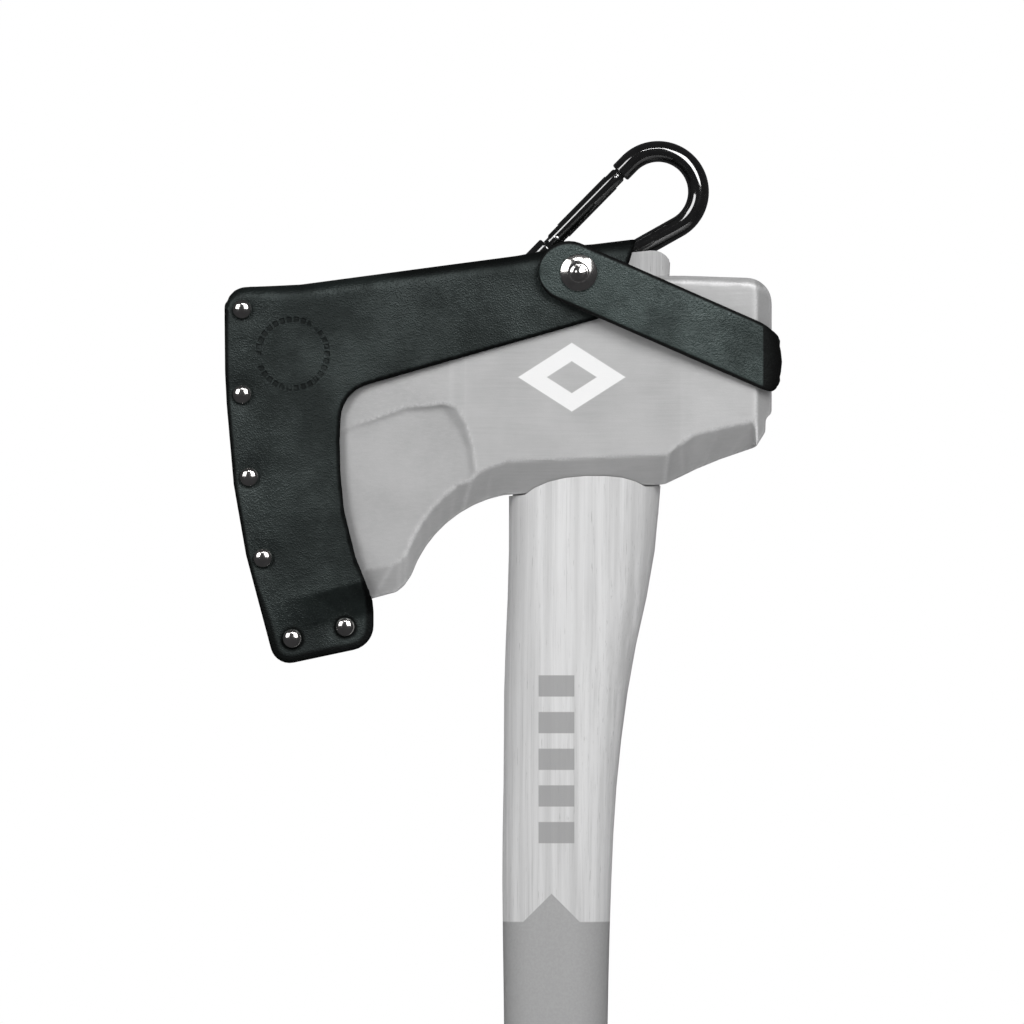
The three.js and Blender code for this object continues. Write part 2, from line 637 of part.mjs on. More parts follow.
function bend(side, from, to) {
  const points = [];
  const count = Math.max(1, Math.round(Math.abs(to - from) / 12));
  for (let k = 0; k <= count; k += 1) {
    const angle = degrees(THREE.MathUtils.lerp(from, to, k / count));
    const out = CORNER.radius * Math.sin(angle);
    points.push(vec2(CORNER.x + CORNER.radius * Math.cos(angle), side * (CORNER.y + out)));
  }
  return points;
}

// The plan outline of a band of leather along a line of points.
function band(path) {
  const sides = path.map((point, i) => {
    const before = path[Math.max(i - 1, 0)];
    const after = path[Math.min(i + 1, path.length - 1)];
    const along = after.clone().sub(before).normalize();
    const across = vec2(-along.y, along.x).multiplyScalar(LEATHER / 2);
    return [point.clone().add(across), point.clone().sub(across)];
  });
  return [...sides.map(([left]) => left), ...sides.map(([, right]) => right).reverse()];
}

// The strap seen from the side: a round end at (x, z), and an upright stretch at the poll.
function strapOutline(end) {
  const wide = STRAP_WIDTH / 2;
  const angle = Math.atan(STRAP_SLOPE);
  const [along, across] = [vec2(Math.cos(angle), -Math.sin(angle)), vec2(Math.sin(angle), Math.cos(angle))];
  const tip = vec2(end.x, end.z).addScaledVector(along, -wide);
  const upper = tip.clone().addScaledVector(across, wide);
  const lower = tip.clone().addScaledVector(across, -wide);
  const drop = (x) => end.z - STRAP_SLOPE * (x - end.x);
  const half = wide / Math.cos(angle);
  return rounded([
    [upper.x, upper.y, wide - 0.05], [POLL_X, drop(POLL_X) + half], [90, drop(POLL_X) + half],
    [90, drop(POLL_X) - half], [POLL_X, drop(POLL_X) - half], [lower.x, lower.y, wide - 0.05],
  ], 15);
}

const STRAP_END = { x: 4.5, z: 691.4 };
const nearY = STRAP_IN_NEAR + LEATHER / 2;
const farY = STRAP_IN_FAR + LEATHER / 2;
const nearPath = [vec2(-12, -nearY), vec2(24, -nearY), ...bend(-1, BEND_START, SPLIT + SPLIT_GAP)];
const backPath = [...bend(-1, SPLIT - SPLIT_GAP, 0), ...bend(1, 0, SPLIT - SPLIT_GAP)];
const farPath = [...bend(1, SPLIT + SPLIT_GAP, BEND_START), vec2(30, farY), vec2(0, farY)];

function strapSolid(path, end) {
  const width = prismAlongY(strapOutline(end), -40, 40);
  return prismAlongZ(band(path), 620, 720).intersect(width);
}

const nearHole = rod(1.35 + GAP, SNAP.x, SNAP.z, -40, -20);
const farHole = rod(POST_RADIUS + GAP, STRAP_RIVET.x, STRAP_RIVET.z, 20, 40);
add('strap_near', geometryOf(strapSolid(nearPath, STRAP_END).subtract(nearHole)), LOOKS.strap);
add('strap_back', geometryOf(strapSolid(backPath, STRAP_END)), LOOKS.strap);
add('strap_far', geometryOf(strapSolid(farPath, { x: 17, z: 686.4 }).subtract(farHole)), LOOKS.strap);

// ---------------------------------------------------------------- carabiner and its loop

// Local frame: origin at the eye of the carabiner, local X along its length.
const hanging = new THREE.Group();
hanging.position.set(NARROW.x, 0, NARROW.z);
hanging.rotation.y = -LEAN;
parts.add(hanging);

const LOOP = { width: 6, thick: 2, inner: STRAP_IN_FAR, outer: 37.4 };

function hangLoop() {
  const { thick, inner, outer, width } = LOOP;
  const crown = thick / 2;
  const low = -LOOP_REACH - 4.6;
  const meet = inner + thick + GAP;
  const outline = rounded([
    [inner, low], [inner, crown, 3.5], [outer + thick, crown, 3.5], [outer + thick, -11.8, 3],
    [meet + thick, -17.1, 2], [meet + thick, low], [meet, low], [meet, -15.8, 3], [outer, -10.5, 2],
    [outer, crown - thick, 1.5], [inner + thick, crown - thick, 1.5], [inner + thick, low],
  ], 30);
  const turn = new THREE.Matrix4().makeBasis(
    new THREE.Vector3(0, 1, 0), new THREE.Vector3(1, 0, 0), new THREE.Vector3(0, 0, -1),
  );
  const strip = solid(extruded(outline, width).applyMatrix4(turn).translate(0, 0, width / 2));
  return strip.subtract(rod(POST_RADIUS + GAP, -LOOP_REACH, 0, 10, 50));
}

add('hang_loop', geometryOf(hangLoop()), LOOKS.leather, hanging);
const loopFace = LOOP.inner + 2 * LOOP.thick + 2 * GAP;
turned('hang_rivet', [
  [0, PANEL_IN + 1], [POST_RADIUS, PANEL_IN + 1], [POST_RADIUS, loopFace],
  [2.9, loopFace], ...dome(2.9, 1.5, loopFace, 1),
], LOOP_RIVET.x, LOOP_RIVET.z, LOOKS.chrome);
turned('hang_rivet_back', [
  [0, PANEL_IN + 0.1], [3, PANEL_IN + 0.1], [3, PANEL_IN + 0.7], [0, PANEL_IN + 0.7],
], LOOP_RIVET.x, LOOP_RIVET.z, LOOKS.chrome);

const PIVOT_OFFSET = 12.2;        // from the narrow end's tangent point to the gate's pivot
const GATE = { length: 32.2, radius: 3.1, nose: 32.8, slot: 1.3 };
const TONGUE_HALF = 1;            // half the thickness of the tongues that enter the gate

const tangent = vec2(-Math.sin(FLARE), Math.cos(FLARE)).multiplyScalar(NARROW.radius);
const along = vec2(Math.cos(FLARE), Math.sin(FLARE));
const pivot = tangent.clone().addScaledVector(along, PIVOT_OFFSET);

function rodPath() {
  const straight = Math.sqrt(SPAN ** 2 - (WIDE.radius - NARROW.radius) ** 2);
  const points = [];
  const line = (from, to, count) => {
    for (let k = 0; k < count; k += 1) {
      points.push(from.clone().lerp(to, k / count));
    }
  };
  const arc = (x, radius, from, to, count) => {
    for (let k = 0; k <= count; k += 1) {
      const angle = THREE.MathUtils.lerp(from, to, k / count);
      points.push(vec2(x + radius * Math.cos(angle), radius * Math.sin(angle)));
    }
  };
  const right = Math.PI / 2;
  const gateTop = pivot.clone().addScaledVector(along, GATE.nose);
  line(gateTop, tangent.clone().addScaledVector(along, straight), 2);
  arc(SPAN, WIDE.radius, FLARE + right, -FLARE - right, 18);
  points.pop();
  const spine = [vec2(SPAN - Math.sin(FLARE) * WIDE.radius, -Math.cos(FLARE) * WIDE.radius)];
  spine.push(vec2(-Math.sin(FLARE) * NARROW.radius, -Math.cos(FLARE) * NARROW.radius));
  line(spine[0], spine[1], 6);
  arc(0, NARROW.radius, -FLARE - right, FLARE + right - 2 * Math.PI, 14);
  points.pop();
  line(tangent, pivot.clone().addScaledVector(along, -4.4), 2);
  points.push(pivot.clone().addScaledVector(along, -4.4));
  return new THREE.CatmullRomCurve3(points.map((p) => new THREE.Vector3(p.x, CARABINER_Y, p.y)));
}

function rodAlong(curve) {
  const section = [];
  for (let k = 0; k < 12; k += 1) {
    section.push(vec2(ROD_RADIUS * Math.cos((k * Math.PI) / 6), ROD_RADIUS * Math.sin((k * Math.PI) / 6)));
  }
  const settings = { steps: 72, extrudePath: curve, bevelEnabled: false };
  return solid(new THREE.ExtrudeGeometry(new THREE.Shape(section), settings));
}

// Puts a solid made in the gate's own frame, with its pivot at the origin, where the gate is.
function inGateFrame(manifold) {
  const turn = new THREE.Matrix4().makeRotationY(-FLARE);
  turn.setPosition(pivot.x, CARABINER_Y, pivot.y);
  return solid(geometryOf(manifold).applyMatrix4(turn));
}

function carabinerBody() {
  const root = prismAlongY(rounded([[-7, -2.3], [2.3, -2.3, 2.25], [2.3, 2.3, 2.25], [-7, 2.3]]),
    -TONGUE_HALF, TONGUE_HALF);
  const tip = prismAlongY(rounded([[28.8, -2], [36, -2.4], [36, 2.4], [28.8, 2, 1]]),
    -TONGUE_HALF, TONGUE_HALF);
  const notch = rod(1.2, 30.6, 0, -5, 5).add(box(29.4, 31.8, -5, 5, -5, 0));
  const pinHole = rod(1.1 + 0.3, 0, 0, -5, 5);
  const tongues = root.subtract(pinHole).add(tip.subtract(notch));
  return rodAlong(rodPath()).add(inGateFrame(tongues));
}

add('carabiner_body', geometryOf(carabinerBody()), LOOKS.black, hanging);

const gateFrame = new THREE.Group();
gateFrame.position.set(pivot.x, CARABINER_Y, pivot.y);
gateFrame.rotation.y = -FLARE;
hanging.add(gateFrame);

function barAlongX(radius, xMin, xMax) {
  const geometry = new THREE.CylinderGeometry(radius, radius, xMax - xMin, FACETS);
  return solid(geometry.rotateZ(Math.PI / 2).translate((xMin + xMax) / 2, 0, 0));
}

function gate() {
  const { length, radius, slot } = GATE;
  const pivotEnd = rod(radius, 0, 0, -radius, radius).intersect(barAlongX(radius, -10, 10));
  let bar = barAlongX(radius, 0, length).add(pivotEnd);
  bar = bar.subtract(box(-8, 3.6, -slot, slot, -6, 6)).subtract(box(28, 40, -slot, slot, -6, 6));
  bar = bar.subtract(barAlongX(1.9, 2.4, 21));
  return bar.subtract(rod(1.4, 0, 0, -6, 6)).subtract(rod(1.1, 30.6, 0, -6, 6));
}

add('carabiner_gate', geometryOf(gate()), LOOKS.black, gateFrame);

function pin(name, radius, x, look) {
  add(name, new THREE.CylinderGeometry(radius, radius, 6, FACETS).translate(x, 0, 0), look, gateFrame);
}

pin('gate_pin', 1.1, 0, LOOKS.chrome);
pin('latch_pin', 0.8, 30.6, LOOKS.chrome);
add('gate_plunger', geometryOf(barAlongX(1.5, 2.8, 6)), LOOKS.chrome, gateFrame);

function gateSpring() {
  const [coils, from, to, wireRadius] = [6, 6.9, 19.8, 0.32];
  const points = [];
  for (let k = 0; k <= coils * 8; k += 1) {
    const angle = (k * Math.PI) / 4;
    const x = THREE.MathUtils.lerp(from, to, k / (coils * 8));
    points.push(new THREE.Vector3(x, 1.15 * Math.cos(angle), 1.15 * Math.sin(angle)));
  }
  const wire = [0, 1, 2, 3, 4].map((k) => {
    const angle = (k * 2 * Math.PI) / 5;
    return vec2(wireRadius * Math.cos(angle), wireRadius * Math.sin(angle));
  });
  const extrudePath = new THREE.CatmullRomCurve3(points);
  const settings = { steps: coils * 9, extrudePath, bevelEnabled: false };
  return new THREE.ExtrudeGeometry(new THREE.Shape(wire), settings);
}

add('gate_spring', gateSpring(), LOOKS.chrome, gateFrame);

export default parts;
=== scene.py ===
"""Felling axe in a riveted leather sheath: the looks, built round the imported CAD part.

Lengths in the tables are millimetres in the part's own frame: +Z runs up the haft, the bit
points to -X, the poll to +X, and the near side, with the snap, is -Y.
"""
import math

import bmesh
import bpy
import numpy as np
from mathutils import Matrix, Vector
from mathutils.kdtree import KDTree


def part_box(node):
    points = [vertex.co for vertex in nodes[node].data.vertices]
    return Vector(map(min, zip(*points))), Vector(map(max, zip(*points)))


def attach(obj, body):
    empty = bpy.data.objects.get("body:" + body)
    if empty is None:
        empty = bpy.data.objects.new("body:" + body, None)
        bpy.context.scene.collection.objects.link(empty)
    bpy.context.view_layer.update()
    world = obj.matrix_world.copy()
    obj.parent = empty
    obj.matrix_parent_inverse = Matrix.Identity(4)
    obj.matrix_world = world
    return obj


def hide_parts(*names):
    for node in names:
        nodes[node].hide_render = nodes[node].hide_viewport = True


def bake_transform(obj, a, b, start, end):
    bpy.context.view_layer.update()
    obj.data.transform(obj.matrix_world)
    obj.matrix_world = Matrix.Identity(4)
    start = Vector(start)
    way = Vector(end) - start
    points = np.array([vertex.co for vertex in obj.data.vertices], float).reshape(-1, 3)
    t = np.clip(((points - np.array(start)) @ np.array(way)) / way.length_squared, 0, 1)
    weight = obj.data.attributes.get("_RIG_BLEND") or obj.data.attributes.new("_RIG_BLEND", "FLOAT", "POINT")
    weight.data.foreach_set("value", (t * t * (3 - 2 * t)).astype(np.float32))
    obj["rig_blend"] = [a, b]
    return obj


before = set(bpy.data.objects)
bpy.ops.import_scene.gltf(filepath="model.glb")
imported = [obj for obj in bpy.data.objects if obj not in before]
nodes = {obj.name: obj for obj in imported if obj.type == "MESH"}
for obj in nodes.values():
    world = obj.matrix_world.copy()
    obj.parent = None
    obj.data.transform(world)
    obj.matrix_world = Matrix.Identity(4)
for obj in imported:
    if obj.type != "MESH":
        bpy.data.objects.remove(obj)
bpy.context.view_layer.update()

MM = 0.001
scene = bpy.context.scene


# ---------------------------------------------------------------- materials


class Look:
    """A node material with short names for what is done most often."""

    def __init__(self, name, **sockets):
        self.material = bpy.data.materials.new(name)
        self.material.use_nodes = True
        self.tree = self.material.node_tree
        self.shader = self.tree.nodes["Principled BSDF"]
        for key, value in sockets.items():
            self.shader.inputs[key.replace("_", " ")].default_value = value

    def add(self, kind, inputs=None, **settings):
        node = self.tree.nodes.new("ShaderNode" + kind)
        for key, value in settings.items():
            setattr(node, key, value)
        for key, value in (inputs or {}).items():
            if isinstance(value, bpy.types.NodeSocket):
                self.tree.links.new(value, node.inputs[key])
            else:
                node.inputs[key].default_value = value
        return node

    def math(self, operation, *values):
        return self.add("Math", dict(enumerate(values)), operation=operation).outputs[0]

    def ramp(self, value, low, high, start=0.0, end=1.0):
        """value goes from start at low to end at high, smoothly, and stays there outside."""
        inputs = {"Value": value, "From Min": low, "From Max": high, "To Min": start, "To Max": end}
        node = self.add("MapRange", inputs, interpolation_type="SMOOTHSTEP")
        return node.outputs["Result"]

    def mix(self, share, first, second):
        node = self.add("Mix", {0: share, 6: first, 7: second}, data_type="RGBA")
        return node.outputs[2]

    def noise(self, place, scale, detail=4.0, roughness=0.55):
        inputs = {"Vector": place, "Scale": scale, "Detail": detail, "Roughness": roughness}
        return self.add("TexNoise", inputs).outputs["Fac"]

    def place(self, stretch=(1, 1, 1)):
        """Place on the piece at rest, in millimetres, stretched for grain that runs one way."""
        source = self.add("Attribute", attribute_name="rest").outputs["Vector"]
        return self.add("VectorMath", {0: source, 1: stretch}, operation="MULTIPLY").outputs[0]

    def value(self, attribute):
        return self.add("Attribute", attribute_name=attribute).outputs["Fac"]

    def axes(self, place):
        return self.add("SeparateXYZ", {0: place}).outputs

    def set(self, name, value):
        self.tree.links.new(value, self.shader.inputs[name])

    def bump(self, height, distance, strength=1.0, under=None):
        inputs = {"Height": height, "Distance": distance * MM, "Strength": strength}
        if under is not None:
            inputs["Normal"] = under
        return self.add("Bump", inputs).outputs[0]


def grey(value, tint=(1.0, 1.0, 1.0)):
    return (value * tint[0], value * tint[1], value * tint[2], 1.0)


GREEN = (0.76, 1.03, 0.98)


def leather(name, tone, roughness, relief, stamp=None, streak=1.0):
    """Full-grain leather: pebbled grain, mottling, and darker rims where the rim attribute is high: the dyed
    cut edges, and painted shade.
    A low streak draws the pores out along the strap."""
    look = Look(name, Roughness=roughness, IOR=1.47, Specular_Tint=(0.87, 1.0, 0.98, 1.0))
    place = look.place()
    cells = look.add("TexVoronoi", {"Vector": place, "Scale": 1.5, "Randomness": 1.0}, feature="F1")
    creases = look.ramp(cells.outputs["Distance"], 0.05, 0.62, 1.0, 0.0)
    fine = look.noise(look.place((streak, 1.0, 1.0)), 2.6, 6.0, 0.7)
    folds = look.noise(look.place((0.5, 0.5, 1.1)), 0.42, 5.0, 0.62)
    mottle = look.noise(place, 0.05, 5.0, 0.6)
    rim = look.value("rim")
    light = look.mix(look.ramp(mottle, 0.36, 0.66), grey(tone * 0.72, GREEN), grey(tone * 1.3, GREEN))
    pores = look.mix(look.ramp(fine, 0.56, 0.74), light, grey(tone * 2.3, GREEN))
    # Dark where the rim attribute is high: dyed cut edges, and painted shade on the sheath's top fold and
    # the strap's bend round the poll.
    edge = look.mix(look.ramp(rim, 0.25, 0.6), pores, grey(tone * 0.2, (1, 1, 1)))
    height = look.math("ADD", look.math("MULTIPLY", creases, 0.6), look.math("MULTIPLY", fine, 0.55))
    height = look.math("ADD", height, look.math("MULTIPLY", folds, 0.8))
    normal = look.bump(height, relief)
    if stamp is not None:
        mark = stamp(look, place)
        edge = look.mix(look.math("MULTIPLY", mark, 0.75), edge, grey(tone * 0.1))
        normal = look.bump(look.math("MULTIPLY", mark, -1.0), 0.4, 1.0, normal)
    look.set("Base Color", edge)
    look.set("Normal", normal)
    rough = look.ramp(mottle, 0.3, 0.7, roughness * 1.1, roughness * 0.9)
    rough = look.math("ADD", rough, look.math("MULTIPLY", rim, 0.25))
    if stamp is not None:
        rough = look.math("ADD", rough, look.math("MULTIPLY", mark, 0.3))
    look.set("Roughness", rough)
    sheen = look.ramp(mottle, 0.35, 0.65, 0.36, 0.6)
    look.set("Specular IOR Level", look.math("MULTIPLY", sheen, look.ramp(rim, 0.25, 0.6, 1.0, 0.25)))
    return look.material


def tick_ring(look, place):
    """A plain ring of short ticks pressed into the leather."""
    centre, radius, count = (-95.0, 662.0), 12.4, 30
    x, y, z = look.axes(place)
    across = look.math("SUBTRACT", x, centre[0])
    up = look.math("SUBTRACT", z, centre[1])
    squares = look.math("ADD", look.math("MULTIPLY", across, across), look.math("MULTIPLY", up, up))
    length = look.math("SQRT", squares)
    turn = look.math("MULTIPLY", look.math("ARCTAN2", up, across), count / (2 * math.pi))
    beat = look.math("ABSOLUTE", look.math("SUBTRACT", look.math("FRACT", turn), 0.5))
    tick = look.ramp(beat, 0.12, 0.24)
    band = look.ramp(look.math("ABSOLUTE", look.math("SUBTRACT", length, radius)), 0.7, 1.1, 1.0, 0.0)
    patchy = look.ramp(look.noise(place, 0.16, 3.0), 0.34, 0.56)
    near = look.ramp(y, -1.0, 1.0, 1.0, 0.0)
    mark = look.math("MULTIPLY", look.math("MULTIPLY", tick, band), patchy)
    return look.math("MULTIPLY", mark, near)


def steel():
    """Satin grey forged head, with faint grinding lines and a plain pale lozenge on the near cheek."""
    look = Look("head_steel", Metallic=0.3, Roughness=0.5)
    place = look.place()
    lines = look.noise(look.place((0.045, 1.0, 1.0)), 1.1, 6.0, 0.7)
    cloud = look.noise(place, 0.045, 4.0, 0.55)
    fine = look.noise(place, 1.6, 5.0, 0.65)
    tone = look.mix(look.ramp(cloud, 0.3, 0.7), grey(0.4), grey(0.455))
    tone = look.mix(look.ramp(lines, 0.35, 0.75, 0.0, 0.35), tone, grey(0.52))
    x, y, z = look.axes(place)
    centre, half_wide, half_high = (5.5, 653.5), 19.5, 12.5
    offset = look.math("ABSOLUTE", look.math("SUBTRACT", x, centre[0]))
    rise = look.math("ABSOLUTE", look.math("SUBTRACT", z, centre[1]))
    reach = look.math("ADD", look.math("DIVIDE", offset, half_wide), look.math("DIVIDE", rise, half_high))
    lozenge = look.ramp(reach, 0.97, 1.01, 1.0, 0.0)
    hole = look.ramp(reach, 0.44, 0.48)
    lozenge = look.math("MULTIPLY", look.math("MULTIPLY", lozenge, hole), look.ramp(y, -1.0, 1.0, 1.0, 0.0))
    # Paler grey in patches along the sharply convex edges.
    patchy = look.math("MULTIPLY", look.value("rim"), look.ramp(fine, 0.35, 0.6, 0.35, 0.9))
    tone = look.mix(patchy, tone, grey(0.68))
    look.set("Base Color", look.mix(lozenge, tone, grey(0.83)))
    height = look.math("ADD", look.math("MULTIPLY", lines, 0.7), look.math("MULTIPLY", fine, 0.6))
    look.set("Normal", look.bump(height, 0.05))
    look.set("Roughness", look.ramp(fine, 0.3, 0.7, 0.44, 0.56))
    return look.material


def wood():
    """Pale oiled wood with long grain, short pores, a painted lower part and plain dark bars."""
    look = Look("haft_wood", Roughness=0.5, IOR=1.45)
    place = look.place()
    x, y, z = look.axes(place)
    wander = look.noise(look.place((0.03, 0.03, 0.006)), 1.0, 3.0)
    bands = look.noise(look.place((0.22, 0.22, 0.0045)), 1.0, 5.0, 0.6)
    grain = look.noise(look.place((1.5, 1.5, 0.02)), 1.0, 6.0, 0.72)
    pores = look.noise(look.place((2.6, 2.6, 0.11)), 1.0, 4.0, 0.6)
    tone = look.mix(look.ramp(bands, 0.34, 0.66), grey(0.49), grey(0.64))
    tone = look.mix(look.ramp(grain, 0.5, 0.8, 0.0, 0.75), tone, grey(0.34))
    tone = look.mix(look.ramp(pores, 0.63, 0.74, 0.0, 0.8), tone, grey(0.22))
    tone = look.mix(look.ramp(wander, 0.45, 0.75, 0.0, 0.3), tone, grey(0.74))
    paint_top, peak_height, peak_x = 457.4, 10.2, -1.8
    away = look.math("ABSOLUTE", look.math("SUBTRACT", x, peak_x))
    peak = look.math("MAXIMUM", look.math("SUBTRACT", peak_height, away), 0.0)
    edge = look.math("ADD", paint_top, peak)
    painted = look.ramp(look.math("SUBTRACT", z, edge), -0.25, 0.25, 1.0, 0.0)
    bars_foot, pitch, rungs = 483.0, 13.2, 5
    bars_middle = bars_foot + pitch * rungs / 2
    rung = look.math("FRACT", look.math("DIVIDE", look.math("SUBTRACT", z, bars_foot), pitch))
    bar = look.ramp(look.math("ABSOLUTE", look.math("SUBTRACT", rung, 0.5)), 0.28, 0.3, 1.0, 0.0)
    wide = look.ramp(look.math("ABSOLUTE", x), 6.3, 6.6, 1.0, 0.0)
    span = look.ramp(look.math("ABSOLUTE", look.math("SUBTRACT", z, bars_middle)), 32.9, 33.1, 1.0, 0.0)
    near = look.ramp(y, -1.0, 1.0, 1.0, 0.0)
    bars = look.math("MULTIPLY", look.math("MULTIPLY", bar, wide), look.math("MULTIPLY", span, near))
    tone = look.mix(look.math("MULTIPLY", bars, 0.85), tone, grey(0.28))
    fleck = look.noise(place, 1.2, 5.0, 0.6)
    paint = look.mix(look.ramp(fleck, 0.3, 0.7), grey(0.325), grey(0.355))
    look.set("Base Color", look.mix(painted, tone, paint))
    height = look.math("ADD", look.math("MULTIPLY", grain, 0.6), look.math("MULTIPLY", pores, 0.5))
    shallow = look.math("MULTIPLY", height, look.ramp(painted, 0.0, 1.0, 1.0, 0.25))
    look.set("Normal", look.bump(shallow, 0.12))
    look.set("Roughness", look.ramp(painted, 0.0, 1.0, 0.55, 0.42))
    return look.material


def end_grain():
    look = Look("wedge_wood", Roughness=0.6)
    grain = look.noise(look.place((0.06, 1.6, 0.05)), 1.0, 5.0, 0.7)
    look.set("Base Color", look.mix(look.ramp(grain, 0.35, 0.7), grey(0.6), grey(0.36)))
    look.set("Normal", look.bump(grain, 0.08))
    return look.material


def metal(name, tone, roughness, scratch=0.25):
    look = Look(name, Metallic=1.0, Roughness=roughness)
    place = look.place()
    fine = look.noise(place, 3.0, 5.0, 0.7)
    cloud = look.noise(place, 0.35, 3.0)
    low = (tone[0] * 0.85, tone[1] * 0.85, tone[2] * 0.85, 1.0)
    look.set("Base Color", look.mix(look.ramp(cloud, 0.3, 0.7), low, (*tone, 1.0)))
    look.set("Roughness", look.ramp(fine, 0.3, 0.75, roughness * 0.8, roughness * 1.5))
    look.set("Normal", look.bump(fine, 0.004, scratch))
    return look.material


def gloss_black():
    """Black plated carabiner: a deep mirror with faint ripples."""
    coat = {"Coat_Weight": 1.0, "Coat_Roughness": 0.04, "Coat_IOR": 1.7}
    look = Look("carabiner_black", Roughness=0.09, IOR=1.9, **coat)
    place = look.place()
    ripple = look.noise(place, 0.3, 3.0)
    fine = look.noise(place, 2.5, 4.0)
    look.set("Base Color", look.mix(look.ramp(ripple, 0.3, 0.7), grey(0.002), grey(0.005)))
    look.set("Roughness", look.ramp(fine, 0.3, 0.8, 0.07, 0.14))
    look.set("Normal", look.bump(ripple, 0.03, 0.3))
    return look.material


looks = {
    "head_steel": steel(),
    "haft_wood": wood(),
    "wedge_wood": end_grain(),
    "wedge_steel": metal("wedge_steel", (0.5, 0.5, 0.5), 0.4),
    "sheath_leather": leather("sheath_leather", 0.0085, 0.4, 0.12, tick_ring),
    "welt_leather": leather("welt_leather", 0.005, 0.62, 0.2),
    # The strap's tone is set brighter than the sheath's as painted sheen, for the highlight the strap
    # catches.
    "strap_leather": leather("strap_leather", 0.03, 0.34, 0.19, streak=0.35),
    "loop_leather": leather("loop_leather", 0.005, 0.5, 0.1),
    "chrome": metal("chrome", (0.74, 0.72, 0.7), 0.12),
    "carabiner_black": gloss_black(),
    "pin_steel": metal("pin_steel", (0.7, 0.7, 0.7), 0.16),
    "spring_steel": metal("spring_steel", (0.45, 0.45, 0.45), 0.25),
}

# ---------------------------------------------------------------- meshes


def finish_mesh(mesh, angle):
    """Joins doubled points, turns the faces outward and keeps edges sharper than the angle."""
    work = bmesh.new()
    work.from_mesh(mesh)
    bmesh.ops.remove_doubles(work, verts=work.verts, dist=2e-6)
    bmesh.ops.dissolve_degenerate(work, edges=work.edges, dist=1e-7)
    bmesh.ops.recalc_face_normals(work, faces=work.faces)
    work.to_mesh(mesh)
    work.free()
    mesh.polygons.foreach_set("use_smooth", [True] * len(mesh.polygons))
    mesh.set_sharp_from_angle(angle=math.radians(angle))
    keep_rest(mesh)


def keep_rest(mesh):
    """Stores each point's place at rest, in millimetres, for the materials."""
    rest = np.array([v.co for v in mesh.vertices], np.float32) / MM
    attribute = mesh.attributes.get("rest") or mesh.attributes.new("rest", "FLOAT_VECTOR", "POINT")
    attribute.data.foreach_set("vector", rest.ravel())
    if "rim" not in mesh.attributes:
        mesh.attributes.new("rim", "FLOAT", "POINT")


def shown(name, mesh, slot_name, body, replaced):
    """Puts a finished mesh in the scene as a piece of the object."""
    made = bpy.data.objects.new(name, mesh)
    scene.collection.objects.link(made)
    mesh.materials.clear()
    mesh.materials.append(looks[slot_name])
    if replaced:
        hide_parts(*replaced)
    if body:
        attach(made, body)
    return made


def mesh_of(name, points, faces, angle=50, rim=None):
    mesh = bpy.data.meshes.new(name)
    mesh.from_pydata([Vector(p) * MM for p in points], [], faces)
    if rim is not None:
        mesh.attributes.new("rim", "FLOAT", "POINT").data.foreach_set("value", rim)
    finish_mesh(mesh, angle)
    return mesh


def skin(rings):
    """Points and faces of a closed skin over rings of equally many points."""
    size = len(rings[0])
    points = [p for ring in rings for p in ring]
    faces = []
    for i in range(len(rings) - 1):
        low, high = i * size, (i + 1) * size
        faces += [(low + j, low + (j + 1) % size, high + (j + 1) % size, high + j) for j in range(size)]
    faces += [tuple(range(size))[::-1], tuple(range(len(points) - size, len(points)))]
    return points, faces


def lathe(profile, count=64):
    """Rings round the Y axis from (radius, y) points."""
    turns = [2 * math.pi * k / count for k in range(count)]
    return skin([[(r * math.cos(t), y, r * math.sin(t)) for t in turns] for r, y in profile])


def remade(node, voxel, rounds, name):
    """A fine, soft-edged copy of a CAD node's surface."""
    work = bpy.data.objects.new(name, nodes[node].data.copy())
    scene.collection.objects.link(work)
    work.modifiers.new("weld", "WELD").merge_threshold = 1e-5
    remesh = work.modifiers.new("remesh", "REMESH")
    remesh.mode = "VOXEL"
    remesh.voxel_size = voxel * MM
    soft = work.modifiers.new("soft", "SMOOTH")
    soft.factor = 0.5
    soft.iterations = rounds
    mesh = bpy.data.meshes.new_from_object(work.evaluated_get(bpy.context.evaluated_depsgraph_get()))
    mesh.name = name
    bpy.data.objects.remove(work)
    for attribute in [a.name for a in mesh.attributes if a.name.startswith("custom_normal")]:
        mesh.attributes.remove(mesh.attributes[attribute])
    mesh.polygons.foreach_set("use_smooth", [True] * len(mesh.polygons))
    keep_rest(mesh)
    return mesh


def points_of(mesh):
    """Points and normals of a mesh, in millimetres."""
    co = np.array([v.co for v in mesh.vertices], float) / MM
    normals = np.array([v.normal for v in mesh.vertices], float)
    return co, normals


def set_points(mesh, co):
    mesh.vertices.foreach_set("co", (co * MM).astype(np.float32).ravel())
    mesh.update()


def set_rim(mesh, rim):
    mesh.attributes["rim"].data.foreach_set("value", rim.astype(np.float32))


# ---------------------------------------------------------------- head and haft



def convex_edges(mesh, depth):
    """1 where the surface is as sharply convex as the given depth, and 0 where it is flat."""
    co, normals = points_of(mesh)
    ends = np.array([e.vertices for e in mesh.edges])
    total = np.zeros_like(co)
    count = np.zeros(len(co))
    for a, b in (ends.T, ends.T[::-1]):
        np.add.at(total, a, co[b])
        np.add.at(count, a, 1)
    sunk = ((co - total / count[:, None]) * normals).sum(axis=1)
    set_rim(mesh, np.clip(sunk / depth, 0, 1))


head_mesh = remade("head", 0.8, 3, "head_body")
convex_edges(head_mesh, 0.06)
shown("head_body", head_mesh, "head_steel", "axe", ["head"])


def tidied(node, slot_name, body, angle=32):
    """A CAD node's own shape with joined points, smooth rounds and sharp corners kept."""
    mesh = nodes[node].data.copy()
    for attribute in [a.name for a in mesh.attributes if a.name.startswith("custom_normal")]:
        mesh.attributes.remove(mesh.attributes[attribute])
    finish_mesh(mesh, angle)
    return shown(node + "_body", mesh, slot_name, body, [node])


